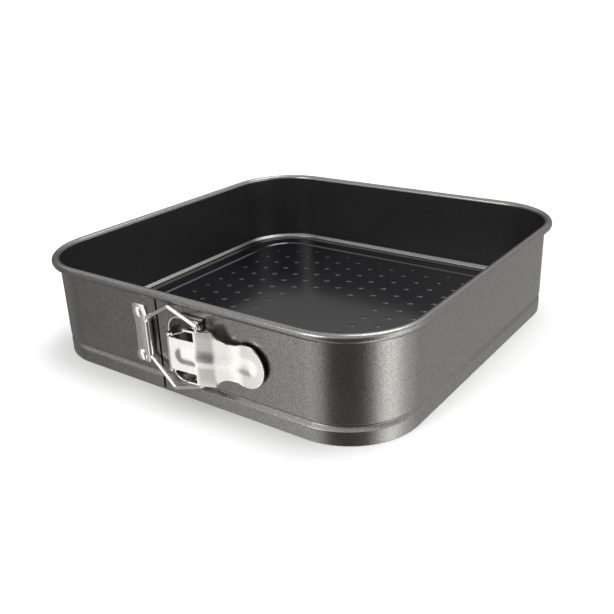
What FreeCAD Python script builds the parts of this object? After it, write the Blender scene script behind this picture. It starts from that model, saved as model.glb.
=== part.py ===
import FreeCAD, Part
import math
import os

from FreeCAD import Vector

# Square springform pan, millimetres, +Z up, standing on its base.
# The front wall, with the latch, faces -Y. The origin is the middle of the overall footprint.

# ---- band: one strip of sheet steel bent to a rounded square --------------------------------
wall_half = 129.3          # pan centre to the outer face of a wall
corner_radius = 43.4       # outer face of the wall at the corners
pan_height = 65.0
sheet = 0.6                # band sheet thickness
rim_radius = 2.65          # outside of the rolled rim
rim_roll_degrees = 310.0   # how far round the rim is rolled
bead_depth = 2.5           # how far the V-bead presses in from the outer face
bead_middle_z = 10.3
bead_half_height = 2.2
seam_x = -18.0             # where the band's left end edge lies
tongue_end_x = -72.0       # how far the right end reaches behind the left end
tongue_offset = 1.2        # how far the tongue is set in
joggle_length = 1.2
rim_core_radius = 1.55     # necked rim that plugs into the left end's hollow rim
rim_end_gap = 0.2          # between the two rolled rims at the seam

# ---- base plate --------------------------------------------------------------------------------
base_sheet = 0.7
skirt_inset = 2.4          # wall outer face to the skirt's outer face
skirt_top_z = 7.0
ridge_inset = 5.7
ridge_top_z = 11.4
ridge_width = 1.0
channel_z = 10.1
channel_inset = 7.8
step_inset = 18.0
step_width = 1.2
floor_z = 9.2
foot_width = 3.0

# ---- latch: x along the front wall, depth out from its outer face ----------------------------
latch_z = 34.0             # the latch is symmetric about this height
pivot_x, pivot_depth = 2.0, 9.0          # lever pin
hook_x, hook_depth = 20.3, 6.9           # where the wire's ends pass through the lever's ears
curl_x, curl_depth = -23.0, 2.3          # the wire's run in the catch plate's curl
wire_radius = 1.25
running_gap = 0.08

catch_left, catch_top, catch_bottom = -36.6, 18.8, -18.4
catch_sheet = 0.9
catch_waist = 1.2          # how far the left edge curves in between the rivets
curl_half_height = 10.8
catch_rivets = ((-32.5, 13.4), (-33.0, -14.8))
catch_rivet_head = 3.7

wire_run_half = 12.4
wire_bend_x, wire_bend_depth, wire_bend_half = -1.0, 6.3, 25.4
wire_hook_half = 18.3      # the legs end outside the ears at this half height
wire_end_half = 13.6
wire_bend_radius = 3.0
wire_hook_radius = 1.6

bracket_left, bracket_right, bracket_half = -3.7, 20.0, 20.2
bracket_sheet = 1.0
bracket_flange = 5.2
bracket_corner = 9.0
bracket_window_half = 17.6
bracket_rivets = ((14.5, 14.2), (14.5, -14.2))
bracket_rivet_head = 3.0
hinge_ear_inner, hinge_ear_sheet = 10.3, 1.0
hinge_ear_radius = 2.6
hinge_ear_foot = 8.5

pin_radius = 1.2
pin_head_radius, pin_head_height = 1.9, 0.6

lever_sheet = 1.0
lever_line = ((2.0, 11.3), (20.0, 9.8), (31.0, 6.0), (43.0, 3.0), (66.0, 3.0))
tongue_half = 9.8
wide_left, wide_right, wide_half = 20.0, 31.0, 16.4
waist_x, waist_half = 38.5, 10.8
tab_x, tab_radius = 50.0, 12.5
tab_join_degrees = 120.0
ear_left, ear_bottom = 11.5, 3.6
slot_inner, slot_outer = 13.2, 20.15     # radial slot for the wire's end, from the lever pin
slot_low, slot_high = -2.4, 1.4          # its sides, across the radius
rib_start, rib_end, rib_half, rib_height = 5.0, 56.7, 4.5, 1.0

barrel_outer = lever_line[0][1] - pivot_depth
lever_slope = (lever_line[1][1] - lever_line[0][1]) / (lever_line[1][0] - lever_line[0][0])
front_reach = wall_half + lever_line[0][1] + lever_slope * (rib_start - lever_line[0][0]) + rib_height
rim_half = wall_half - sheet + 2 * rim_radius
pan_shift = (front_reach - rim_half) / 2       # puts the origin in the middle of the footprint

straight_half = wall_half - corner_radius
rim_centre = (rim_radius - sheet, pan_height - rim_radius)
UP = Vector(0, 0, 1)
FRONT, RIGHT, BACK, LEFT = range(4)            # sides, counter-clockwise from above


# ---- profiles: (outward from the wall's outer face, height) --------------------------------
def profile_point(outward, height):
    return Vector(outward, 0, height)


def polygon_face(points):
    corners = [profile_point(*p) for p in points]
    return Part.Face(Part.makePolygon(corners + corners[:1]))


def bead_lines(shift=0.0):
    """The wall's outer and inner lines through the V-bead, from the bottom up."""
    slope = bead_depth / bead_half_height
    inner_depth = bead_depth + sheet * math.sqrt(1 + slope * slope)
    inner_half = (inner_depth - sheet) / slope
    outer = [
        (0.0 - shift, bead_middle_z - bead_half_height),
        (-bead_depth - shift, bead_middle_z),
        (0.0 - shift, bead_middle_z + bead_half_height),
    ]
    inner = [
        (-sheet - shift, bead_middle_z - inner_half),
        (-inner_depth - shift, bead_middle_z),
        (-sheet - shift, bead_middle_z + inner_half),
    ]
    return outer, inner


def plain_wall(shift, top):
    """The wall with its bead, without a rim."""
    outer, inner = bead_lines(shift)
    points = [(-shift, 0.0)] + outer + [(-shift, top), (-sheet - shift, top)]
    points += inner[::-1] + [(-sheet - shift, 0.0)]
    return polygon_face(points)


def rim_point(radius, degrees):
    angle = math.radians(degrees)
    return profile_point(
        rim_centre[0] + radius * math.cos(angle), rim_centre[1] + radius * math.sin(angle)
    )


def rim_arc(radius):
    """From the wall over the top and round to the roll's edge."""
    last = 180.0 - rim_roll_degrees
    middle = (180.0 + last) / 2
    return Part.Arc(rim_point(radius, 180), rim_point(radius, middle), rim_point(radius, last)).toShape()


def rimmed_wall():
    outer, inner = bead_lines()
    inner_roll, outer_roll = rim_arc(rim_radius - sheet), rim_arc(rim_radius)
    rising = [profile_point(0, 0)] + [profile_point(*p) for p in outer] + [rim_point(rim_radius - sheet, 180)]
    falling = [rim_point(rim_radius, 180)] + [profile_point(*p) for p in inner[::-1]]
    falling += [profile_point(-sheet, 0), profile_point(0, 0)]
    last = 180.0 - rim_roll_degrees
    lip = Part.makeLine(rim_point(rim_radius - sheet, last), rim_point(rim_radius, last))
    edges = Part.makePolygon(rising).Edges + [inner_roll, lip, outer_roll] + Part.makePolygon(falling).Edges
    return Part.Face(Part.Wire(Part.__sortEdges__(edges)))


# ---- runs of a profile round the pan ---------------------------------------------------------
def side_directions(side):
    """Outward normal and direction of travel of one side, counter-clockwise from above."""
    turn = math.radians(90 * side)
    outward = Vector(math.sin(turn), -math.cos(turn), 0)
    return outward, UP.cross(outward)


def placed_profile(profile, side, along):
    outward, travel = side_directions(side)
    face = profile.copy()
    position = outward * wall_half + travel * along
    face.Placement = FreeCAD.Placement(position, FreeCAD.Rotation(UP, 90 * side - 90))
    return face


def straight_run(profile, side, start, end):
    travel = side_directions(side)[1]
    return placed_profile(profile, side, start).extrude(travel * (end - start))


def corner_run(profile, side):
    """The quarter turn that follows a side."""
    outward, travel = side_directions(side)
    centre = (outward + travel) * straight_half
    return placed_profile(profile, side, straight_half).revolve(centre, UP, 90)


def joined(shapes):
    whole = shapes[0].multiFuse(shapes[1:]) if len(shapes) > 1 else shapes[0]
    return whole.removeSplitter()


def make_band_main():
    """Front right, right, back and both back corners, with the tongue at its left end."""
    wall = rimmed_wall()
    pieces = [straight_run(wall, FRONT, seam_x + joggle_length, straight_half), corner_run(wall, FRONT)]
    for side in (RIGHT, BACK):
        pieces += [straight_run(wall, side, -straight_half, straight_half), corner_run(wall, side)]
    outward, travel = side_directions(FRONT)
    tongue_top = rim_centre[1] - rim_radius - 0.4
    set_in = plain_wall(tongue_offset, tongue_top)
    pieces.append(straight_run(set_in, FRONT, tongue_end_x, seam_x))
    joggle_start = placed_profile(set_in, FRONT, seam_x)
    pieces.append(joggle_start.extrude(travel * joggle_length + outward * tongue_offset))
    core_start = placed_profile(rim_disc(rim_core_radius), FRONT, tongue_end_x)
    pieces.append(core_start.extrude(travel * (seam_x + joggle_length - tongue_end_x)))
    neck_x = seam_x + rim_end_gap
    neck = placed_profile(rim_disc(rim_radius), FRONT, neck_x)
    pieces.append(neck.extrude(travel * (seam_x + joggle_length - neck_x)))
    return joined(pieces)


def rim_disc(radius):
    centre = profile_point(*rim_centre)
    return Part.Face(Part.Wire(Part.makeCircle(radius, centre, Vector(0, 1, 0))))


def make_band_left_wall():
    return straight_run(rimmed_wall(), LEFT, -straight_half, straight_half)


def make_band_front_left():
    wall = rimmed_wall()
    return joined([corner_run(wall, LEFT), straight_run(wall, FRONT, -straight_half, seam_x)])


# ---- base plate -------------------------------------------------------------------------------
def base_profile():
    """The formed edge of the base, from the foot over the ridge to the floor."""
    t = base_sheet
    upper = [
        (-skirt_inset, 0.0),
        (-skirt_inset, skirt_top_z),
        (-ridge_inset, ridge_top_z),
        (-ridge_inset - ridge_width, ridge_top_z),
        (-channel_inset, channel_z),
        (-step_inset, channel_z),
        (-step_inset - step_width, floor_z),
        (-step_inset - step_width - 1, floor_z),
    ]
    lower = [
        (-step_inset - step_width - 1, floor_z - t),
        (-step_inset - step_width + t / 2, floor_z - t),
        (-step_inset + t / 2, channel_z - t),
        (-channel_inset + t, channel_z - t),
        (-ridge_inset - ridge_width + t / 2, ridge_top_z - t),
        (-ridge_inset - t / 2, ridge_top_z - t),
        (-skirt_inset - t, skirt_top_z),
        (-skirt_inset - t, t),
        (-skirt_inset - foot_width, t),
        (-skirt_inset - foot_width, 0.0),
    ]
    return polygon_face(upper + lower)


def rounded_square(half, radius, low, height):
    plate = Part.makeBox(2 * half, 2 * half, height, Vector(-half, -half, low))
    upright = [e for e in plate.Edges if abs(e.BoundBox.ZLength - height) < 1e-6]
    return plate.makeFillet(radius, upright)


def make_base_plate():
    edge = base_profile()
    pieces = []
    for side in (FRONT, RIGHT, BACK, LEFT):
        pieces += [straight_run(edge, side, -straight_half, straight_half), corner_run(edge, side)]
    floor_inset = step_inset + step_width + 0.5
    floor = rounded_square(
        wall_half - floor_inset, corner_radius - floor_inset, floor_z - base_sheet, base_sheet
    )
    return joined(pieces + [floor])


# ---- latch helpers: x, depth and height above the latch's middle ------------------------------
def latch_point(x, depth, height=0.0):
    return Vector(x, -wall_half - depth, latch_z + height)


def latch_section(points, low, high):
    """An outline in x and depth, run from height low to height high."""
    corners = [latch_point(x, depth, low) for x, depth in points]
    face = Part.Face(Part.makePolygon(corners + corners[:1]))
    return face.extrude(Vector(0, 0, high - low))


def latch_rod(x, depth, radius, low, high):
    return Part.makeCylinder(radius, high - low, latch_point(x, depth, low), UP)


def wall_outline(edges, near, far):
    """A closed outline drawn in x and height, run from depth near to depth far."""
    face = Part.Face(Part.Wire(Part.__sortEdges__(edges)))
    face.translate(Vector(0, -near, 0))
    return face.extrude(Vector(0, near - far, 0))


def outline_line(start, end):
    return Part.makeLine(latch_point(start[0], 0, start[1]), latch_point(end[0], 0, end[1]))


def outline_arc(start, middle, end):
    points = [latch_point(x, 0, height) for x, height in (start, middle, end)]
    return Part.Arc(*points).toShape()


def mirrored(shape):
    return shape.mirror(latch_point(0, 0), UP)


def domed_rivet(x, height, seat, head_radius, inner_head):
    """A rivet through the wall: domed head on the sheet at depth seat, flush or headed inside."""
    shank_radius = head_radius * 0.45
    dome_height = head_radius * 0.36
    sphere_radius = (head_radius**2 + dome_height**2) / (2 * dome_height)
    dome = Part.makeSphere(sphere_radius, latch_point(x, seat + dome_height - sphere_radius, height))
    keep = Part.makeCylinder(head_radius + 1, dome_height + 1, latch_point(x, seat, height), Vector(0, -1, 0))
    shank = Part.makeCylinder(shank_radius, seat + sheet, latch_point(x, -sheet, height), Vector(0, -1, 0))
    pieces = [dome.common(keep), shank]
    if inner_head:
        head_start = latch_point(x, -sheet - 0.8, height)
        pieces.append(Part.makeCylinder(head_radius * 0.8, 0.8, head_start, Vector(0, -1, 0)))
    return joined(pieces)


def rivet_hole(x, height, head_radius):
    """The hole that the rivet's shank fills, through every sheet."""
    return Part.makeCylinder(head_radius * 0.45, 10, latch_point(x, -4, height), Vector(0, -1, 0))


# ---- latch pieces --------------------------------------------------------------------------------
def make_catch_plate():
    middle_left = (catch_left + catch_waist, (catch_top + catch_bottom) / 2)
    corner = 2.0
    right = curl_x + 0.6
    edges = [
        outline_arc((catch_left, catch_bottom + corner), middle_left, (catch_left, catch_top - corner)),
        outline_line((catch_left, catch_top - corner), (catch_left + corner, catch_top)),
        outline_line((catch_left + corner, catch_top), (curl_x - 3.5, catch_top)),
        outline_line((curl_x - 3.5, catch_top), (right - 2.4, curl_half_height + 3)),
        outline_line((right - 2.4, curl_half_height + 3), (right - 2.4, curl_half_height)),
        outline_line((right - 2.4, curl_half_height), (right, curl_half_height)),
        outline_line((right, curl_half_height), (right, -curl_half_height)),
        outline_line((right, -curl_half_height), (right - 2.4, -curl_half_height)),
        outline_line((right - 2.4, -curl_half_height), (right - 2.4, -curl_half_height - 3)),
        outline_line((right - 2.4, -curl_half_height - 3), (curl_x - 3.5, catch_bottom)),
        outline_line((curl_x - 3.5, catch_bottom), (catch_left + corner, catch_bottom)),
        outline_line((catch_left + corner, catch_bottom), (catch_left, catch_bottom + corner)),
    ]
    plate = wall_outline(edges, 0, catch_sheet)
    curl = latch_rod(curl_x, curl_depth, curl_depth, -curl_half_height, curl_half_height)
    bore = latch_rod(curl_x, curl_depth, wire_radius + running_gap, -30, 30)
    holes = [rivet_hole(x, height, catch_rivet_head) for x, height in catch_rivets]
    return plate.fuse(curl).cut(bore).cut(Part.makeCompound(holes)).removeSplitter()


def bent_rod(points, bend_radii, radius):
    """A round rod along straight runs joined by tangent arcs."""
    edges = []
    start = points[0]
    for before, corner, after, bend in zip(points, points[1:], points[2:], bend_radii):
        back = (before - corner).normalize()
        ahead = (after - corner).normalize()
        half_angle = back.getAngle(ahead) / 2
        reach = bend / math.tan(half_angle)
        inward = (back + ahead).normalize()
        middle = corner + inward * (bend / math.sin(half_angle) - bend)
        arc_start, arc_end = corner + back * reach, corner + ahead * reach
        edges.append(Part.makeLine(start, arc_start))
        edges.append(Part.Arc(arc_start, middle, arc_end).toShape())
        start = arc_end
    edges.append(Part.makeLine(start, points[-1]))
    section = Part.Wire(Part.makeCircle(radius, points[0], points[1] - points[0]))
    return Part.Wire(edges).makePipeShell([section], True, False)


def make_wire_link():
    half = [
        latch_point(hook_x, hook_depth, wire_end_half),
        latch_point(hook_x, hook_depth, wire_hook_half),
        latch_point(wire_bend_x, wire_bend_depth, wire_bend_half),
        latch_point(curl_x, curl_depth, wire_run_half),
    ]
    other = [latch_point(p.x, -p.y - wall_half, latch_z - p.z) for p in half[::-1]]
    bends = [wire_hook_radius, wire_bend_radius, wire_hook_radius]
    return bent_rod(half + other, bends + bends[::-1], wire_radius)


def bracket_outline(inset):
    """Rectangle with two large round corners on the left."""
    left, right, half = bracket_left + inset, bracket_right - inset, bracket_half - inset
    radius = bracket_corner - inset
    knee = radius * (1 - math.sqrt(0.5))
    return [
        outline_line((left + radius, half), (right, half)),
        outline_line((right, half), (right, -half)),
        outline_line((right, -half), (left + radius, -half)),
        outline_arc((left + radius, -half), (left + knee, -half + knee), (left, -half + radius)),
        outline_line((left, -half + radius), (left, half - radius)),
        outline_arc((left, half - radius), (left + knee, half - knee), (left + radius, half)),
    ]


def hinge_ear():
    """One ear of the bracket, at the upper side: a foot narrowing to a round eye at the pin."""
    low, high = hinge_ear_inner, hinge_ear_inner + hinge_ear_sheet
    eye = latch_rod(pivot_x, pivot_depth, hinge_ear_radius, low, high)
    foot = [
        (bracket_left + 0.3, 0.5),
        (hinge_ear_foot, 0.5),
        (pivot_x + hinge_ear_radius, pivot_depth),
        (pivot_x - hinge_ear_radius, pivot_depth),
    ]
    return eye.fuse(latch_section(foot, low, high))


def make_latch_bracket():
    tray = wall_outline(bracket_outline(0), 0, bracket_flange)
    hollow = wall_outline(bracket_outline(bracket_sheet), bracket_sheet, bracket_flange + 1)
    window_corner = latch_point(bracket_right - 2, bracket_sheet + 20, -bracket_window_half)
    window = Part.makeBox(4, 20, 2 * bracket_window_half, window_corner)
    ear = hinge_ear()
    pin_hole = latch_rod(pivot_x, pivot_depth, pin_radius, -30, 30)
    holes = [rivet_hole(x, height, bracket_rivet_head) for x, height in bracket_rivets]
    tray = tray.cut(hollow).cut(window)
    return tray.fuse(ear).fuse(mirrored(ear)).cut(Part.makeCompound([pin_hole] + holes)).removeSplitter()


def make_lever_pin():
    reach = hinge_ear_inner + hinge_ear_sheet
    shank = latch_rod(pivot_x, pivot_depth, pin_radius, -reach, reach)
    head = latch_rod(pivot_x, pivot_depth, pin_head_radius, reach, reach + pin_head_height)
    return joined([shank, head, mirrored(head)])


def lever_strip(low, high, bottom, top):
    """The lever's bent line as a strip between two offsets from its outer face."""
    above = [(x, depth + top) for x, depth in lever_line]
    below = [(x, depth + bottom) for x, depth in lever_line]
    return latch_section(above + below[::-1], low, high)


def lever_outline():
    """Seen from the front: tongue, wide part, waist and round thumb tab."""
    join = math.radians(tab_join_degrees)
    tab_top = (tab_x + tab_radius * math.cos(join), tab_radius * math.sin(join))
    corner = 1.5
    arc_middle = (wide_right + 2.9, waist_half + 2.0)

    def below(point):
        return (point[0], -point[1])

    upper = [
        outline_line((pivot_x, tongue_half), (wide_left, tongue_half)),
        outline_line((wide_left, tongue_half), (wide_left, wide_half)),
        outline_line((wide_left, wide_half), (wide_right - corner, wide_half)),
        outline_line((wide_right - corner, wide_half), (wide_right, wide_half - corner / 2)),
        outline_arc((wide_right, wide_half - corner / 2), arc_middle, (waist_x, waist_half)),
        outline_line((waist_x, waist_half), tab_top),
    ]
    lower = [e.mirror(latch_point(0, 0), UP) for e in upper]
    tab = outline_arc(tab_top, (tab_x + tab_radius, 0), below(tab_top))
    nose = outline_line((pivot_x, tongue_half), (pivot_x, -tongue_half))
    return upper + lower + [tab, nose]


def lever_ear():
    """The upper ear, turned in towards the wall, with a radial slot for the wire's end."""
    underside = lever_line[2][1] - lever_sheet
    points = [
        (ear_left, ear_bottom + 1.5),
        (ear_left + 1.5, ear_bottom),
        (wide_left + 3.5, ear_bottom),
        (wide_right - 1.5, underside + 0.6),
        (wide_left, lever_line[1][1] - 0.1),
        (ear_left + 1.5, lever_line[1][1] + 1.3),
        (ear_left, lever_line[1][1] - 0.2),
    ]
    ear = latch_section(points, wide_half - lever_sheet, wide_half)
    slope = math.atan2(hook_depth - pivot_depth, hook_x - pivot_x)

    def slot_corner(along, across):
        x = pivot_x + along * math.cos(slope) - across * math.sin(slope)
        return (x, pivot_depth + along * math.sin(slope) + across * math.cos(slope))

    slot = latch_section(
        [
            slot_corner(slot_inner, slot_low),
            slot_corner(slot_outer, slot_low),
            slot_corner(slot_outer, slot_high),
            slot_corner(slot_inner, slot_high),
        ],
        0,
        30,
    )
    return ear.cut(slot)


def make_lever():
    plate = lever_strip(-20, 20, -lever_sheet, 0).common(wall_outline(lever_outline(), -5, 30))
    rib_edges = [
        outline_line((rib_start + rib_half, rib_half), (rib_end - rib_half, rib_half)),
        outline_arc((rib_end - rib_half, rib_half), (rib_end, 0), (rib_end - rib_half, -rib_half)),
        outline_line((rib_end - rib_half, -rib_half), (rib_start + rib_half, -rib_half)),
        outline_arc((rib_start + rib_half, -rib_half), (rib_start, 0), (rib_start + rib_half, rib_half)),
    ]
    rib = lever_strip(-20, 20, -lever_sheet / 2, rib_height).common(wall_outline(rib_edges, -5, 30))
    barrel = latch_rod(pivot_x, pivot_depth, barrel_outer, -tongue_half, tongue_half)
    bore = latch_rod(pivot_x, pivot_depth, pin_radius + running_gap, -30, 30)
    ear = lever_ear()
    whole = plate.multiFuse([rib, barrel, ear, mirrored(ear)])
    return whole.cut(bore).removeSplitter()


# ---- all pieces --------------------------------------------------------------------------------
def make_parts():
    bracket_holes = [rivet_hole(x, height, bracket_rivet_head) for x, height in bracket_rivets]
    catch_holes = [rivet_hole(x, height, catch_rivet_head) for x, height in catch_rivets]
    parts = {
        "base_plate": make_base_plate(),
        "band_main": make_band_main().cut(Part.makeCompound(bracket_holes)),
        "band_left_wall": make_band_left_wall(),
        "band_front_left": make_band_front_left().cut(Part.makeCompound(catch_holes)),
        "catch_plate": make_catch_plate(),
        "wire_link": make_wire_link(),
        "latch_bracket": make_latch_bracket(),
        "lever_pin": make_lever_pin(),
        "lever": make_lever(),
    }
    for place, (x, height) in zip(("upper", "lower"), catch_rivets):
        parts[f"catch_rivet_{place}"] = domed_rivet(x, height, catch_sheet, catch_rivet_head, False)
    for place, (x, height) in zip(("upper", "lower"), bracket_rivets):
        parts[f"bracket_rivet_{place}"] = domed_rivet(x, height, bracket_sheet, bracket_rivet_head, True)
    return parts


os.makedirs("parts", exist_ok=True)
for node, shape in make_parts().items():
    shape.translate(Vector(0, pan_shift, 0))
    shape.exportStep(f"parts/{node}.step")
    box = shape.BoundBox
    print(f"{node:22s} solids {len(shape.Solids)} valid {shape.isValid()} volume {shape.Volume:9.1f}")
    print(f"    from {box.XMin:.1f} {box.YMin:.1f} {box.ZMin:.1f}")
    print(f"    to {box.XMax:.1f} {box.YMax:.1f} {box.ZMax:.1f}")
print(f"pan centre is at y = {pan_shift:.3f}")
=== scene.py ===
import math

import bmesh
import bpy
from mathutils import Matrix, Vector


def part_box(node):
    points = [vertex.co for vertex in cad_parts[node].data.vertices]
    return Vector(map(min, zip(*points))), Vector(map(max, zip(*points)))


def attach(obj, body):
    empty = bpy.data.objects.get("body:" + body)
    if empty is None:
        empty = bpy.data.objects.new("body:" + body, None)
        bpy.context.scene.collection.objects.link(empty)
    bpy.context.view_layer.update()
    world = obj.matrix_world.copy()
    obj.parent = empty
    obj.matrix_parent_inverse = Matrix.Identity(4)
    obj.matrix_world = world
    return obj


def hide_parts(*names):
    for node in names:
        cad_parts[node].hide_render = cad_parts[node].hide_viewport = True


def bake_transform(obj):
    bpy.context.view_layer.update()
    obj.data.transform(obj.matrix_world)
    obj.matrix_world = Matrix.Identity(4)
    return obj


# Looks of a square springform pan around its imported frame.
# Shapes are drawn in millimetres about the pan's centre, with the latch wall facing -Y.

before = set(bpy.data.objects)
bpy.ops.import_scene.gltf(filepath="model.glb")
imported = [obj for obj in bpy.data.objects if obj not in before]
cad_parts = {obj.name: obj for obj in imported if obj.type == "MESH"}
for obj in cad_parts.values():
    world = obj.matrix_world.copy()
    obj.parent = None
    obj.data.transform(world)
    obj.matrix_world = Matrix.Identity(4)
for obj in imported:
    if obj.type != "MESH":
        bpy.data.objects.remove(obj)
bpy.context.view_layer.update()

MM = 0.001
band_low, band_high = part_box("band_main")
pan_centre_y = (band_low.y + band_high.y) / 2
rim_half = (band_high.x - band_low.x) / 2 / MM
pan_height = band_high.z / MM

# ---- sizes shared with the CAD model -----------------------------------------------------------
rim_overhang = 4.7
wall_half = rim_half - rim_overhang
corner_radius = 43.4
sheet = 0.6
rim_radius = 2.65
bead_depth, bead_middle_z, bead_half_height = 2.5, 10.3, 2.2
seam_x = -18.0
joggle_length = 1.2
tongue_offset, tongue_end_x = 1.2, -72.0
rim_core_radius = 1.55
rim_end_gap = 0.2

base_sheet = 0.7
floor_z = 9.2
channel_z = 10.1
floor_inset = 20.2

latch_z = 34.0
pivot_x, pivot_depth = 2.0, 9.0
hook_x, hook_depth = 20.3, 6.9
curl_x, curl_depth = -23.0, 2.3
wire_radius = 1.25
barrel_outer = 2.3

straight_half = wall_half - corner_radius
rim_centre = (rim_radius - sheet, pan_height - rim_radius)
FRONT, RIGHT, BACK, LEFT = range(4)
CORNER_STEPS = 40


# ---- small mesh tools --------------------------------------------------------------------------
def new_piece(name, points, faces, material, sharp_degrees=40.0):
    """A mesh object from points in millimetres about the pan's centre."""
    mesh = bpy.data.meshes.new(name)
    mesh.from_pydata([(x * MM, y * MM + pan_centre_y, z * MM) for x, y, z in points], [], faces)
    bm = bmesh.new()
    bm.from_mesh(mesh)
    bmesh.ops.remove_doubles(bm, verts=bm.verts, dist=1e-6)
    bmesh.ops.recalc_face_normals(bm, faces=bm.faces)
    bm.to_mesh(mesh)
    bm.free()
    piece = bpy.data.objects.new(name, mesh)
    bpy.context.scene.collection.objects.link(piece)
    mesh.materials.append(material)
    shade_smooth(piece, sharp_degrees)
    return piece


def shade_smooth(piece, sharp_degrees=40.0):
    for polygon in piece.data.polygons:
        polygon.use_smooth = True
    piece.data.set_sharp_from_angle(angle=math.radians(sharp_degrees))


def apply_modifiers(piece):
    """Makes the piece's modifiers part of its mesh."""
    graph = bpy.context.evaluated_depsgraph_get()
    mesh = bpy.data.meshes.new_from_object(piece.evaluated_get(graph), depsgraph=graph)
    old = piece.data
    piece.modifiers.clear()
    piece.data = mesh
    bpy.data.meshes.remove(old)


def bevel_edges(piece, width, segments=3, sharp_degrees=35.0):
    bevel = piece.modifiers.new("bevel", "BEVEL")
    bevel.width = width * MM
    bevel.segments = segments
    bevel.limit_method = "ANGLE"
    bevel.angle_limit = math.radians(sharp_degrees)
    apply_modifiers(piece)
    shade_smooth(piece, 50.0)


def join_pieces(name, pieces):
    """One mesh out of several that are already in place."""
    bm = bmesh.new()
    materials = []
    for piece in pieces:
        for material in piece.data.materials:
            if material not in materials:
                materials.append(material)
        slots = [materials.index(material) for material in piece.data.materials]
        first = len(bm.faces)
        bm.from_mesh(piece.data)
        bm.faces.ensure_lookup_table()
        for face in bm.faces[first:]:
            face.material_index = slots[face.material_index]
    mesh = bpy.data.meshes.new(name)
    bm.to_mesh(mesh)
    bm.free()
    for piece in pieces:
        bpy.data.objects.remove(piece)
    whole = bpy.data.objects.new(name, mesh)
    bpy.context.scene.collection.objects.link(whole)
    for material in materials:
        mesh.materials.append(material)
    return whole


def smooth_step(value):
    value = min(max(value, 0.0), 1.0)
    return value * value * (3 - 2 * value)


def rounded_line(points, radii, steps=6):
    """A polyline whose inner corners are replaced by arcs; a radius of 0 leaves a corner sharp."""
    line = [points[0]]
    for before, corner, after, radius in zip(points, points[1:], points[2:], radii):
        if radius == 0:
            line.append(corner)
            continue
        back = (Vector(before) - Vector(corner)).normalized()
        ahead = (Vector(after) - Vector(corner)).normalized()
        half_angle = back.angle(ahead) / 2
        reach = radius / math.tan(half_angle)
        centre = Vector(corner) + (back + ahead).normalized() * (radius / math.sin(half_angle))
        first = Vector(corner) + back * reach - centre
        last = Vector(corner) + ahead * reach - centre
        for step in range(steps + 1):
            spoke = first.lerp(last, step / steps).normalized() * radius
            line.append(tuple(centre + spoke))
    line.append(points[-1])
    return line


def arc_points(centre, radius, start_degrees, end_degrees, steps):
    points = []
    for step in range(steps + 1):
        angle = math.radians(start_degrees + (end_degrees - start_degrees) * step / steps)
        points.append((centre[0] + radius * math.cos(angle), centre[1] + radius * math.sin(angle)))
    return points


def bridge_loops(loops, count, closed_ring, capped):
    """Quads between consecutive loops of points, each of the same count."""
    faces = []
    last = loops if closed_ring else loops - 1
    for loop in range(last):
        here, there = loop * count, ((loop + 1) % loops) * count
        for j in range(count):
            k = (j + 1) % count
            faces.append((here + j, here + k, there + k, there + j))
    if capped:
        faces.append(tuple(range(count)))
        faces.append(tuple(range((loops - 1) * count, loops * count)))
    return faces


# ---- stations round the pan: wall face position and outward direction --------------------------
def side_directions(side):
    turn = math.radians(90 * side)
    outward = Vector((math.sin(turn), -math.cos(turn), 0))
    return outward, Vector((-outward.y, outward.x, 0))


def side_stations(side, start, end, steps=1):
    outward, travel = side_directions(side)
    stations = []
    for step in range(steps + 1):
        along = start + (end - start) * step / steps
        stations.append((outward * wall_half + travel * along, outward))
    return stations


def corner_stations(side):
    """The quarter turn that follows a side, without its end points."""
    outward, travel = side_directions(side)
    centre = (outward + travel) * straight_half
    stations = []
    for step in range(1, CORNER_STEPS):
        angle = math.pi / 2 * step / CORNER_STEPS
        direction = outward * math.cos(angle) + travel * math.sin(angle)
        stations.append((centre + direction * corner_radius, direction))
    return stations


def paint_inner_shade(piece):
    """Gives the darker inner copy of the band coat, painted shade, to the wall faces that look towards the
    pan's middle.
    """
    piece.data.materials.append(inner_shade_coat)
    low, high = bead_middle_z + bead_half_height, pan_height - 2 * rim_radius - 0.5
    for polygon in piece.data.polygons:
        x, y = polygon.center.x / MM, (polygon.center.y - pan_centre_y) / MM
        beyond = Vector((max(abs(x) - straight_half, 0), max(abs(y) - straight_half, 0)))
        outward = Vector((math.copysign(beyond.x, x), math.copysign(beyond.y, y), 0)).normalized()
        on_wall = low < polygon.center.z / MM < high
        if on_wall and polygon.normal.dot(outward) < -0.1 and beyond.length < corner_radius - sheet / 2:
            polygon.material_index = 1


def sweep(name, profile, stations, material, closed_ring=False, insets=None):
    """Carries a closed outline of (outward, height) points along stations."""
    points = []
    insets = insets or [0.0] * len(stations)
    for (place, outward), inset in zip(stations, insets):
        for offset, height in profile:
            spot = place + outward * (offset - inset)
            points.append((spot.x, spot.y, height))
    faces = bridge_loops(len(stations), len(profile), closed_ring, not closed_ring)
    return new_piece(name, points, faces, material)


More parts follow.
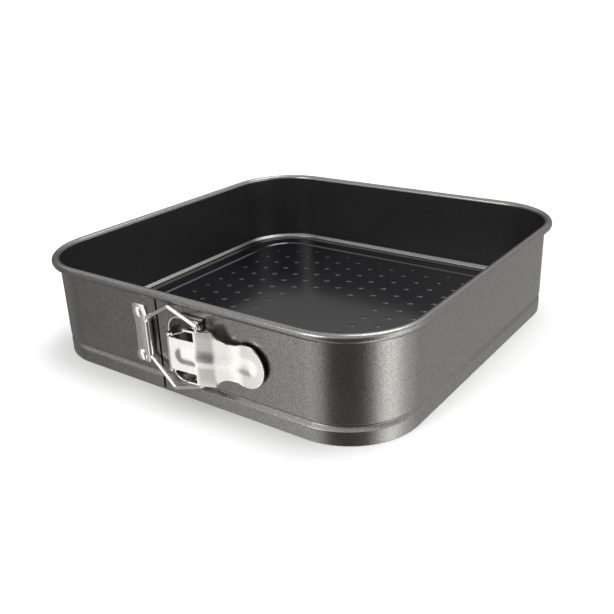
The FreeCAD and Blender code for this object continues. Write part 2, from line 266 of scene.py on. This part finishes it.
# ---- materials ---------------------------------------------------------------------------------
class Nodes:
    """Short names for building one node material."""

    def __init__(self, name):
        self.material = bpy.data.materials.new(name)
        self.material.use_nodes = True
        self.tree = self.material.node_tree
        self.shader = self.tree.nodes["Principled BSDF"]
        self.place = self.add("ShaderNodeTexCoord").outputs["Object"]

    def add(self, kind, **settings):
        node = self.tree.nodes.new(kind)
        for key, value in settings.items():
            if key in node.inputs:
                node.inputs[key].default_value = value
            else:
                setattr(node, key, value)
        return node

    def link(self, output, node, socket):
        self.tree.links.new(output, node.inputs[socket])

    def noise(self, per_mm, detail, roughness=0.5):
        """Noise with about per_mm lumps in each millimetre."""
        mapping = self.add("ShaderNodeMapping")
        mapping.inputs["Scale"].default_value = (1 / MM, 1 / MM, 1 / MM)
        self.link(self.place, mapping, "Vector")
        noise = self.add("ShaderNodeTexNoise")
        noise.inputs["Scale"].default_value = per_mm
        noise.inputs["Detail"].default_value = detail
        noise.inputs["Roughness"].default_value = roughness
        self.link(mapping.outputs["Vector"], noise, "Vector")
        return noise.outputs["Fac"]

    def ramp(self, value, stops):
        """A colour ramp; each stop is (position, grey or colour)."""
        ramp = self.add("ShaderNodeValToRGB")
        elements = ramp.color_ramp.elements
        while len(elements) < len(stops):
            elements.new(0.5)
        for element, (position, colour) in zip(elements, stops):
            element.position = position
            element.color = (*colour, 1) if isinstance(colour, tuple) else (colour, colour, colour, 1)
        self.link(value, ramp, "Fac")
        return ramp.outputs["Color"]

    def bump(self, height, strength, depth_mm):
        bump = self.add("ShaderNodeBump")
        bump.inputs["Strength"].default_value = strength
        bump.inputs["Distance"].default_value = depth_mm * MM
        self.link(height, bump, "Height")
        return bump


def coating_material(name, colour, speckle, roughness, metallic, grain_mm, grain_strength):
    """Baked-on non-stick coat: metallic pigment with a fine grain."""
    nodes = Nodes(name)
    grain = nodes.noise(1.0 / grain_mm, 3.0, 0.6)
    cloud = nodes.noise(0.02, 2.0)
    dark = tuple(channel * (1 - speckle) for channel in colour)
    light = tuple(channel * (1 + speckle) for channel in colour)
    nodes.link(nodes.ramp(grain, [(0.3, dark), (0.7, light)]), nodes.shader, "Base Color")
    rough = nodes.ramp(cloud, [(0.3, roughness - 0.03), (0.7, roughness + 0.03)])
    nodes.link(rough, nodes.shader, "Roughness")
    nodes.shader.inputs["Metallic"].default_value = metallic
    bump = nodes.bump(grain, grain_strength, grain_mm * 0.12)
    nodes.link(bump.outputs["Normal"], nodes.shader, "Normal")
    return nodes.material


def steel_material(name, colour, roughness):
    """Bright tinned steel with faint, uneven marks."""
    nodes = Nodes(name)
    marks = nodes.noise(0.8, 3.0, 0.6)
    tint = tuple(0.9 * channel for channel in colour)
    nodes.link(nodes.ramp(marks, [(0.35, tint), (0.65, colour)]), nodes.shader, "Base Color")
    rough = nodes.ramp(marks, [(0.3, roughness * 0.8), (0.7, roughness * 1.3)])
    nodes.link(rough, nodes.shader, "Roughness")
    nodes.shader.inputs["Metallic"].default_value = 1.0
    bump = nodes.bump(marks, 0.08, 0.05)
    nodes.link(bump.outputs["Normal"], nodes.shader, "Normal")
    return nodes.material


band_coat = coating_material("band_coat", (0.250, 0.244, 0.231), 0.42, 0.26, 1.0, 0.6, 0.45)
# The inner coat is a darker copy of the band coat: painted shade on the inside walls, while the ledge and
# the rim keep the lit band coat.
inner_shade_coat = coating_material("inner_shade_coat", (0.045, 0.045, 0.045), 0.40, 0.30, 0.6, 0.7, 0.35)
base_coat = coating_material("base_coat", (0.005, 0.005, 0.0065), 0.20, 0.16, 0.1, 0.8, 0.06)
base_coat.node_tree.nodes["Principled BSDF"].inputs["Specular IOR Level"].default_value = 0.85
latch_steel = steel_material("latch_steel", (0.92, 0.89, 0.85), 0.14)
wire_steel = steel_material("wire_steel", (0.94, 0.91, 0.87), 0.18)
# Near-black copy of the latch steel: painted shadow inside the bracket's tray.
tray_shadow_steel = steel_material("tray_shadow_steel", (0.10, 0.098, 0.094), 0.30)


# ---- band --------------------------------------------------------------------------------------
def bead_slope_extra():
    return sheet * math.sqrt(1 + (bead_depth / bead_half_height) ** 2)


def outer_wall_line(top):
    low, high = bead_middle_z - bead_half_height, bead_middle_z + bead_half_height
    points = [(0, 0), (0, low), (-bead_depth, bead_middle_z), (0, high), (0, top)]
    return rounded_line(points, (0.9, 0.5, 0.7))


def inner_wall_line(top):
    inner_depth = bead_depth + bead_slope_extra()
    half = (inner_depth - sheet) * bead_half_height / bead_depth
    points = [
        (-sheet, 0),
        (-sheet, bead_middle_z - half),
        (-inner_depth, bead_middle_z),
        (-sheet, bead_middle_z + half),
        (-sheet, top),
    ]
    return rounded_line(points, (0.7, 0.9, 1.2))


def rimmed_profile():
    """The band's whole section, with its rolled rim."""
    roll_end = 180 - 310
    inner_roll = arc_points(rim_centre, rim_radius - sheet, 180, roll_end, 28)
    outer_roll = arc_points(rim_centre, rim_radius, roll_end, 180, 36)
    top = rim_centre[1]
    return outer_wall_line(top)[:-1] + inner_roll + outer_roll + inner_wall_line(top)[::-1][1:]


def plain_profile(top):
    return outer_wall_line(top) + inner_wall_line(top)[::-1]


def make_band():
    profile = rimmed_profile()
    split_y = straight_half - 6.0
    ring = side_stations(FRONT, seam_x + joggle_length, straight_half)
    for side in (FRONT, RIGHT, BACK):
        ring += corner_stations(side)
        end = -split_y if side == BACK else straight_half
        ring += side_stations(side + 1, -straight_half, end)
    ring_piece = sweep("band_ring", profile, ring, band_coat)
    paint_inner_shade(ring_piece)
    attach(ring_piece, "band")
    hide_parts("band_main")

    back_half = sweep("band_left_back_half", profile, side_stations(LEFT, -split_y, 0, 12), band_coat)
    front_half = sweep("band_left_front_half", profile, side_stations(LEFT, 0, split_y, 12), band_coat)
    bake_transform(back_half)
    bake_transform(front_half)
    paint_inner_shade(back_half)
    paint_inner_shade(front_half)
    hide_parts("band_left_wall")

    front_left = side_stations(LEFT, split_y, straight_half) + corner_stations(LEFT)
    front_left += side_stations(FRONT, -straight_half, seam_x)
    end_piece = sweep("band_latch_end", profile, front_left, band_coat)
    paint_inner_shade(end_piece)
    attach(end_piece, "front_left")
    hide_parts("band_front_left")


def make_tongue():
    """The right end's joggle and tongue, behind the left end, and the necked rim in its roll."""
    top = rim_centre[1] - rim_radius - 0.4
    stations = side_stations(FRONT, seam_x + joggle_length + 0.5, seam_x + joggle_length)
    stations += side_stations(FRONT, seam_x, tongue_end_x)
    insets = (0, 0, tongue_offset, tongue_offset)
    tongue = sweep("band_tongue", plain_profile(top), stations, band_coat, insets=insets)
    paint_inner_shade(tongue)
    neck_x = seam_x + rim_end_gap
    rims = []
    runs = ((rim_core_radius, tongue_end_x, neck_x), (rim_radius, neck_x, seam_x + joggle_length))
    for radius, start, end in runs:
        outline = arc_points(rim_centre, radius, 0, 360, 28)[:-1]
        rims.append(sweep("rim_end", outline, side_stations(FRONT, start, end), band_coat))
    whole = join_pieces("band_tongue_end", [tongue] + rims)
    shade_smooth(whole)
    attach(whole, "band")


# ---- base plate --------------------------------------------------------------------------------
def base_edge_profile():
    """Foot, skirt, ridge, channel and step, as one closed section."""
    t = base_sheet
    upper = [(-2.4, 0), (-2.4, 7.0), (-5.7, 11.4), (-6.7, 11.4), (-7.8, channel_z)]
    upper += [(-18.0, channel_z), (-19.2, floor_z), (-20.2, floor_z)]
    lower = [(-20.2, floor_z - t), (-18.9, floor_z - t), (-17.7, channel_z - t), (-7.1, channel_z - t)]
    lower += [(-6.35, 11.4 - t), (-6.05, 11.4 - t), (-3.1, 7.0), (-3.1, t), (-5.4, t), (-5.4, 0)]
    upper_line = rounded_line(upper, (1.5, 0.48, 0.48, 0.4, 0.9, 0.6), 6)
    lower_line = rounded_line(lower, (0.4, 0.4, 0.3, 0, 0, 0.8, 0, 0), 3)
    return upper_line + lower_line


def dimple(x, y, points, faces):
    """Adds a low pressed bump with a flat top and a soft side."""
    half_long, half_wide, height, rings, spokes = 2.6, 2.4, 0.42, 9, 28
    first = len(points)
    points.append((x, y, floor_z + height))
    for ring in range(1, rings + 1):
        share = ring / rings
        rise = height * smooth_step((1 - share) / 0.55)
        for spoke in range(spokes):
            angle = 2 * math.pi * spoke / spokes
            across, along = half_long * share * math.cos(angle), half_wide * share * math.sin(angle)
            points.append((x + across, y + along, floor_z + rise))
    for spoke in range(spokes):
        following = (spoke + 1) % spokes
        faces.append((first, first + 1 + spoke, first + 1 + following))
        for ring in range(rings - 1):
            inner, outer = first + 1 + ring * spokes, first + 1 + (ring + 1) * spokes
            faces.append((inner + spoke, outer + spoke, outer + following, inner + following))


def make_base():
    stations = []
    for side in (FRONT, RIGHT, BACK, LEFT):
        stations += side_stations(side, -straight_half, straight_half) + corner_stations(side)
    edge = sweep("base_edge", base_edge_profile(), stations, base_coat, closed_ring=True)

    pitch, reach = 15.1, 103.0
    blank_half = 33.0
    points, faces = [], []
    for column in range(-8, 9):
        x = -5.0 + pitch * column
        stagger = pitch / 2 * (column % 2)
        for row in range(-8, 9):
            y = -4.6 + pitch * row + stagger
            inside = max(abs(x), abs(y)) < reach and abs(x) + abs(y) < 1.86 * reach
            blank = max(abs(x), abs(y)) < blank_half
            if inside and not blank:
                dimple(x, y, points, faces)
    bumps = new_piece("floor_bumps", points, faces, base_coat)

    rim = [place + outward * -floor_inset for place, outward in stations]
    top = [(spot.x, spot.y, floor_z) for spot in rim]
    bottom = [(spot.x, spot.y, floor_z - base_sheet) for spot in rim]
    count = len(rim)
    sides = [tuple(range(count)), tuple(range(2 * count - 1, count - 1, -1))]
    floor = new_piece("floor", top + bottom, sides, base_coat)
    whole = join_pieces("base_tray", [edge, floor, bumps])
    shade_smooth(whole)
    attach(whole, "base")
    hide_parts("base_plate")


# ---- latch tools: x along the wall, depth out from it, height above the latch's middle ---------
def latch_point(x, depth, height):
    return (x, -wall_half - depth, latch_z + height)


def outline_prism(name, outline, low, high, material, bevel=0.0):
    """A flat plate: an outline in x and height, between two depths."""
    count = len(outline)
    points = [latch_point(x, low, z) for x, z in outline] + [latch_point(x, high, z) for x, z in outline]
    piece = new_piece(name, points, bridge_loops(2, count, False, True), material)
    if bevel:
        bevel_edges(piece, bevel)
    return piece


def section_prism(name, outline, low, high, material, bevel=0.0):
    """A section in x and depth, run between two heights."""
    count = len(outline)
    points = [latch_point(x, d, low) for x, d in outline] + [latch_point(x, d, high) for x, d in outline]
    piece = new_piece(name, points, bridge_loops(2, count, False, True), material)
    if bevel:
        bevel_edges(piece, bevel)
    return piece


def tube(name, path, radius, material, sides=20):
    """A round rod along a path of points, with flat ends."""
    path = [Vector(p) for p in path]
    points = []
    normal = None
    for index, place in enumerate(path):
        before = path[max(index - 1, 0)]
        after = path[min(index + 1, len(path) - 1)]
        forward = (after - before).normalized()
        if normal is None:
            normal = forward.orthogonal().normalized()
        normal = (normal - forward * normal.dot(forward)).normalized()
        across = forward.cross(normal)
        for side in range(sides):
            angle = 2 * math.pi * side / sides
            points.append(tuple(place + (normal * math.cos(angle) + across * math.sin(angle)) * radius))
    return new_piece(name, points, bridge_loops(len(path), sides, False, True), material)


def domed_head(name, x, depth, height, radius, rise, material):
    """A rivet head: a low dome with a rounded edge, standing on a sheet at some depth."""
    line = [(radius * 0.97, 0.0), (radius, rise * 0.12)]
    for step in range(1, 10):
        angle = math.pi / 2 * step / 9
        line.append((radius * math.cos(angle), rise * (0.12 + 0.88 * math.sin(angle))))
    spokes = 36
    points = []
    for reach, lift in line:
        for spoke in range(spokes):
            turn = 2 * math.pi * spoke / spokes
            sideways, upward = reach * math.cos(turn), reach * math.sin(turn)
            points.append(latch_point(x + sideways, depth + lift, height + upward))
    faces = bridge_loops(len(line), spokes, False, False) + [tuple(range(spokes))]
    return new_piece(name, points, faces, material, 60)


# ---- lever -------------------------------------------------------------------------------------
def lever_depth(x, line):
    for (x0, d0), (x1, d1) in zip(line, line[1:]):
        if x0 <= x <= x1:
            return d0 + (d1 - d0) * (x - x0) / (x1 - x0)
    return line[-1][1]


def rib_rise(x, z):
    """The raised rib: high at the nose and lower past the bend, with soft shoulders and round ends."""
    rib_start, rib_end, rib_half, shoulder = 6.0, 58.0, 5.8, 5.2
    nose_rise, tab_rise, fall_start, fall_end = 1.0, 0.5, 21.0, 35.0
    rise = nose_rise + (tab_rise - nose_rise) * smooth_step((x - fall_start) / (fall_end - fall_start))
    nearest = min(max(x, rib_start + rib_half), rib_end - rib_half)
    distance = math.hypot(x - nearest, z)
    return rise * smooth_step((rib_half - distance) / shoulder)


def lever_outline():
    tab_x, tab_radius, waist_x, waist_half = 50.0, 12.5, 38.5, 10.8
    upper = [(2.0, 9.8), (20.0, 9.8), (20.0, 16.4), (30.6, 16.4)]
    upper = rounded_line(upper, (0.6, 1.0), 4)
    start, middle, end = Vector((31.2, 15.9)), Vector((33.8, 12.4)), Vector((waist_x, waist_half))
    pull = middle * 2 - (start + end) / 2
    for step in range(1, 15):
        share = step / 14
        spot = start * (1 - share) ** 2 + pull * (2 * share * (1 - share)) + end * share**2
        upper.append(tuple(spot))
    tab = arc_points((tab_x, 0), tab_radius, 118, 0, 30)
    upper += tab[:-1]
    return upper + tab[-1:] + [(x, -z) for x, z in upper[::-1]]


def cut_into_strips(bm, start, end, step, normal):
    """Cuts the mesh by evenly spaced planes, so that it can bend."""
    count = int(round((end - start) / step))
    for index in range(count + 1):
        place = Vector(normal) * (start + step * index)
        geometry = bm.verts[:] + bm.edges[:] + bm.faces[:]
        bmesh.ops.bisect_plane(bm, geom=geometry, plane_co=place, plane_no=normal, dist=1e-5)


def make_lever_plate():
    """The pressed plate: cut into a fine grid, bent to its line and raised along the rib."""
    line = rounded_line([(0.0, 11.45), (20.5, 9.8), (31.0, 6.0), (43.0, 3.0), (66.0, 3.0)], (7, 22, 40), 10)
    bm = bmesh.new()
    bm.faces.new([bm.verts.new((x, 0, z)) for x, z in lever_outline()])
    cut_into_strips(bm, 2.8, 62.0, 0.8, (1, 0, 0))
    cut_into_strips(bm, -12.0, 12.0, 0.6, (0, 0, 1))
    points = []
    for x, _, z in [vert.co for vert in bm.verts]:
        points.append(latch_point(x, lever_depth(x, line) + rib_rise(x, z), z))
    bm.verts.index_update()
    faces = [tuple(v.index for v in face.verts) for face in bm.faces]
    bm.free()
    plate = new_piece("lever_plate", points, faces, latch_steel, 60)
    if plate.data.polygons[0].normal.y > 0:
        plate.data.flip_normals()
    solid = plate.modifiers.new("sheet", "SOLIDIFY")
    solid.thickness = 1.0 * MM
    solid.offset = -1.0
    apply_modifiers(plate)
    bevel_edges(plate, 0.32, 3, 50)
    return plate


def make_lever_ear(side):
    """An ear turned in from the plate's edge, with the slot for the wire."""
    outline = [(11.5, 5.1), (13.0, 3.6), (23.5, 3.6), (29.5, 5.6), (20.0, 9.7), (13.0, 10.5), (11.5, 9.6)]
    outline = rounded_line(outline + outline[:2], (1.2, 1.0, 0.4, 0.6, 1.0, 1.0, 0.8), 5)[1:-1]
    low, high = sorted((side * 15.4, side * 16.4))
    ear = section_prism("lever_ear", outline, low, high, latch_steel)
    slope = math.atan2(hook_depth - pivot_depth, hook_x - pivot_x)
    corners = []
    for along, across in ((13.2, -2.4), (20.15, -2.4), (20.15, 1.4), (13.2, 1.4)):
        x = pivot_x + along * math.cos(slope) - across * math.sin(slope)
        corners.append((x, pivot_depth + along * math.sin(slope) + across * math.cos(slope)))
    ring = rounded_line(corners + corners[:2], (0.9,) * 4, 4)[1:-1]
    cutter = section_prism("slot_cutter", ring, low - 1, high + 1, latch_steel)
    cut = ear.modifiers.new("slot", "BOOLEAN")
    cut.operation = "DIFFERENCE"
    cut.object = cutter
    apply_modifiers(ear)
    bpy.data.objects.remove(cutter)
    bevel_edges(ear, 0.2, 2)
    return ear


def make_lever():
    roll = arc_points((pivot_x, pivot_depth), barrel_outer, 90, 360, 24)
    bore = arc_points((pivot_x, pivot_depth), 1.3, 360, 90, 24)
    nose = section_prism("lever_nose", roll + bore, -9.8, 9.8, latch_steel, 0.15)
    whole = join_pieces("toggle_lever", [make_lever_plate(), nose, make_lever_ear(1), make_lever_ear(-1)])
    shade_smooth(whole, 50)
    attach(whole, "lever")
    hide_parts("lever")


# ---- wire link ---------------------------------------------------------------------------------
def make_wire():
    half = [(hook_x, hook_depth, 13.6), (hook_x, hook_depth, 18.3)]
    half += [(-1.0, 6.3, 25.4), (curl_x, curl_depth, 12.4)]
    corners = half + [(x, depth, -height) for x, depth, height in half[::-1]]
    places = [latch_point(*corner) for corner in corners]
    path = rounded_line(places, (1.6, 3.0, 1.6, 1.6, 3.0, 1.6), 10)
    wire = tube("link_wire", path, wire_radius, wire_steel)
    bevel_edges(wire, 0.25, 2, 60)
    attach(wire, "wire")
    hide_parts("wire_link")


# ---- bracket -----------------------------------------------------------------------------------
def bracket_outline(inset):
    left, right, half = -3.7 + inset, 20.0 - inset, 20.2 - inset
    radius = 9.0 - inset
    outline = arc_points((left + radius, half - radius), radius, 180, 90, 14)
    outline += [(right, half), (right, -half)]
    return outline + arc_points((left + radius, -half + radius), radius, 270, 180, 14)


def make_bracket():
    """A tray with a raised edge, two ears for the lever's pin and a window on the lever's side."""
    flange, thickness, window_half = 5.2, 1.0, 17.6
    # The tray floor takes the near-black steel, painted shadow in the bracket's recess.
    floor = outline_prism("tray_floor", bracket_outline(0.0), 0.0, thickness, tray_shadow_steel)
    outer, inner = bracket_outline(0.0), bracket_outline(thickness)
    start = next(i for i, p in enumerate(outer) if p[0] > 19.9)
    outer_run = [(20.0, -window_half)] + outer[start + 1:] + outer[:start + 1] + [(20.0, window_half)]
    inner_run = [(19.0, -window_half)] + inner[start + 1:] + inner[:start + 1] + [(19.0, window_half)]
    edge = outline_prism("tray_edge", outer_run + inner_run[::-1], thickness * 0.5, flange, latch_steel, 0.3)
    pieces = [edge, floor]
    for side in (1, -1):
        low, high = sorted((side * 10.3, side * 11.3))
        eye = arc_points((pivot_x, pivot_depth), 2.6, 180, 0, 18)
        ear = section_prism("pin_ear", eye + [(8.5, 0.8), (-3.2, 0.8)], low, high, latch_steel, 0.2)
        pieces.append(ear)
    whole = join_pieces("latch_tray", pieces)
    shade_smooth(whole, 50)
    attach(whole, "band")
    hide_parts("latch_bracket")

    pin = [latch_point(pivot_x, pivot_depth, height) for height in (-11.9, 11.9)]
    shank = tube("pin_shank", pin, 1.2, latch_steel)
    heads = []
    for side in (1, -1):
        ends = [latch_point(pivot_x, pivot_depth, side * height) for height in (11.3, 11.9)]
        heads.append(tube("pin_head", ends, 1.9, latch_steel, 28))
    pin_piece = join_pieces("fulcrum_pin", [shank] + heads)
    bevel_edges(pin_piece, 0.15, 2, 60)
    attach(pin_piece, "band")
    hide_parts("lever_pin")


# ---- catch plate -------------------------------------------------------------------------------
def make_catch():
    """Plate with a hollowed left edge, its right edge rolled over the wire."""
    left, top, bottom, waist = -36.6, 18.8, -18.4, 1.2
    outline = [(-26.5, top), (-25.0, 13.8), (-25.0, 10.8), (-22.4, 10.8)]
    outline += [(-22.4, -10.8), (-25.0, -10.8), (-25.0, -13.8), (-26.5, bottom)]
    outline += [(left + 2.0, bottom), (left + 0.4, bottom + 1.2)]
    span = top - bottom - 4.0
    for step in range(21):
        share = step / 20
        height = bottom + 2.0 + span * share
        outline.append((left + waist * math.sin(math.pi * share) ** 0.8, height))
    outline += [(left + 0.4, top - 1.2), (left + 2.0, top)]
    plate = outline_prism("catch_sheet", outline, 0.0, 0.9, latch_steel, 0.22)
    roll = arc_points((curl_x, curl_depth), curl_depth, -90, 215, 30)
    bore = arc_points((curl_x, curl_depth), wire_radius + 0.08, 215, -90, 30)
    curl = section_prism("catch_roll", roll + bore, -10.8, 10.8, latch_steel, 0.15)
    whole = join_pieces("catch_hook", [plate, curl])
    shade_smooth(whole, 50)
    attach(whole, "front_left")
    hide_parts("catch_plate")


def make_rivets():
    """Domed heads outside and, at the bracket, flat heads inside."""
    sets = (
        ("catch_rivet", "front_left", ((-32.5, 13.4), (-33.0, -14.8)), 0.9, 3.7, False),
        ("bracket_rivet", "band", ((14.5, 14.2), (14.5, -14.2)), 1.0, 3.0, True),
    )
    for name, body, places, seat, radius, inner_head in sets:
        for place, (x, height) in zip(("upper", "lower"), places):
            head = domed_head("rivet_head", x, seat, height, radius, radius * 0.36, latch_steel)
            shank_ends = [latch_point(x, depth, height) for depth in (-sheet, seat + 0.3)]
            pieces = [head, tube("rivet_shank", shank_ends, radius * 0.45, latch_steel)]
            if inner_head:
                ends = [latch_point(x, -sheet - lift, height) for lift in (0.8, 0.0)]
                pieces.append(tube("rivet_tail", ends, radius * 0.8, latch_steel, 32))
            rivet = join_pieces(f"{name}_{place}_stud", pieces)
            shade_smooth(rivet, 50)
            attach(rivet, body)
            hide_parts(f"{name}_{place}")


make_band()
make_tongue()
make_base()
make_lever()
make_wire()
make_bracket()
make_catch()
make_rivets()


# ---- floor, camera and light -------------------------------------------------------------------
# Brightness of the studio panels by bearing in degrees, counter-clockwise from +X.
PANELS = (
    (-180, 0.35), (-152, 0.28), (-143, 0.30), (-136, 0.44), (-129, 1.05),
    (-120, 1.22), (-111, 1.05), (-98, 0.80), (-89, 0.13), (-50, 0.12),
    (-34, 0.15), (-22, 0.62), (-4, 2.4), (10, 2.5), (26, 1.2),
    (60, 0.60), (90, 0.40), (115, 0.20), (165, 0.20), (180, 0.35),
)
# The ceiling's brightness, and the heights of a direction where it begins and is full.
CEILING, CEILING_START, CEILING_FULL = 0.95, 0.30, 0.60


def make_floor():
    nodes = Nodes("paper_sweep")
    fibre = nodes.noise(0.2, 3.0)
    nodes.link(nodes.ramp(fibre, [(0.3, 0.90), (0.7, 0.92)]), nodes.shader, "Base Color")
    nodes.shader.inputs["Roughness"].default_value = 0.9
    half, below = 60000.0, -0.3
    corners = [(-half, -half, below), (half, -half, below), (half, half, below), (-half, half, below)]
    floor = new_piece("studio_floor", corners, [(0, 1, 2, 3)], nodes.material)
    floor.visible_glossy = False
    floor.visible_shadow = False


def make_camera():
    """Three-quarter view from the front right, a little above the rim."""
    place = Vector((0.2939, -0.4075, 0.2231)) + Vector((0, pan_centre_y, 0))
    aim = Vector((0.0266, -0.0429, 0.0309)) + Vector((0, pan_centre_y, 0))
    roll, lens = -0.040, 45.38
    forward = (aim - place).normalized()
    right = forward.cross(Vector((0, 0, 1))).normalized()
    up = right.cross(forward)
    tilted_right = right * math.cos(roll) + up * math.sin(roll)
    tilted_up = up * math.cos(roll) - right * math.sin(roll)
    camera_data = bpy.data.cameras.new("camera")
    camera_data.lens = lens
    camera_data.sensor_width = 36.0
    camera_data.clip_end = 200.0
    camera = bpy.data.objects.new("camera", camera_data)
    bpy.context.scene.collection.objects.link(camera)
    turn = Matrix((tilted_right, tilted_up, -forward)).transposed().to_4x4()
    camera.matrix_world = Matrix.Translation(place) @ turn
    bpy.context.scene.camera = camera


def soft_box(name, place, aim, size, power):
    light_data = bpy.data.lights.new(name, "AREA")
    light_data.shape = "RECTANGLE"
    light_data.size, light_data.size_y = size
    light_data.energy = power
    light = bpy.data.objects.new(name, light_data)
    bpy.context.scene.collection.objects.link(light)
    direction = Vector(aim) - Vector(place)
    light.location = place
    light.rotation_euler = direction.to_track_quat("-Z", "Y").to_euler()


def make_studio_walls():
    """A ring of pale and dark panels round the pan, under a bright ceiling, in front of white."""
    world = bpy.data.worlds.new("studio")
    bpy.context.scene.world = world
    world.use_nodes = True
    tree = world.node_tree

    def add(kind, **settings):
        node = tree.nodes.new(kind)
        for key, value in settings.items():
            setattr(node, key, value)
        return node

    direction = tree.nodes.new("ShaderNodeTexCoord").outputs["Generated"]
    split = add("ShaderNodeSeparateXYZ")
    tree.links.new(direction, split.inputs["Vector"])
    bearing = add("ShaderNodeMath", operation="ARCTAN2")
    tree.links.new(split.outputs["Y"], bearing.inputs[0])
    tree.links.new(split.outputs["X"], bearing.inputs[1])
    share = add("ShaderNodeMapRange")
    share.inputs["From Min"].default_value = -math.pi
    share.inputs["From Max"].default_value = math.pi
    tree.links.new(bearing.outputs["Value"], share.inputs["Value"])
    panels = add("ShaderNodeValToRGB")
    elements = panels.color_ramp.elements
    while len(elements) < len(PANELS):
        elements.new(0.5)
    for element, (degrees, bright) in zip(elements, PANELS):
        element.position = (degrees + 180) / 360
        element.color = (bright, bright, bright, 1)
    tree.links.new(share.outputs["Result"], panels.inputs["Fac"])
    rise = add("ShaderNodeMapRange", interpolation_type="SMOOTHSTEP")
    rise.inputs["From Min"].default_value = CEILING_START
    rise.inputs["From Max"].default_value = CEILING_FULL
    tree.links.new(split.outputs["Z"], rise.inputs["Value"])
    blend = add("ShaderNodeMix", data_type="RGBA")
    blend.inputs["B"].default_value = (CEILING, CEILING, CEILING, 1)
    tree.links.new(rise.outputs["Result"], blend.inputs["Factor"])
    tree.links.new(panels.outputs["Color"], blend.inputs["A"])
    seen = add("ShaderNodeMix", data_type="RGBA")
    seen.inputs["B"].default_value = (1, 1, 1, 1)
    tree.links.new(tree.nodes.new("ShaderNodeLightPath").outputs["Is Camera Ray"], seen.inputs["Factor"])
    tree.links.new(blend.outputs["Result"], seen.inputs["A"])
    tree.links.new(seen.outputs["Result"], tree.nodes["Background"].inputs["Color"])


def make_lights():
    make_studio_walls()
    centre = (0, 0, 0.03)
    overhead = bpy.data.lights.new("overhead", "SUN")
    overhead.energy = 1.45
    overhead.angle = math.radians(38)
    lamp = bpy.data.objects.new("overhead", overhead)
    bpy.context.scene.collection.objects.link(lamp)
    lamp.rotation_euler = Vector((-1.0, -1.8, -5.6)).to_track_quat("-Z", "Y").to_euler()
    soft_box("fill", (-0.3, -1.3, 0.9), centre, (0.6, 0.5), 7)


bpy.context.scene.view_settings.view_transform = "Standard"
make_floor()
make_camera()
make_lights()
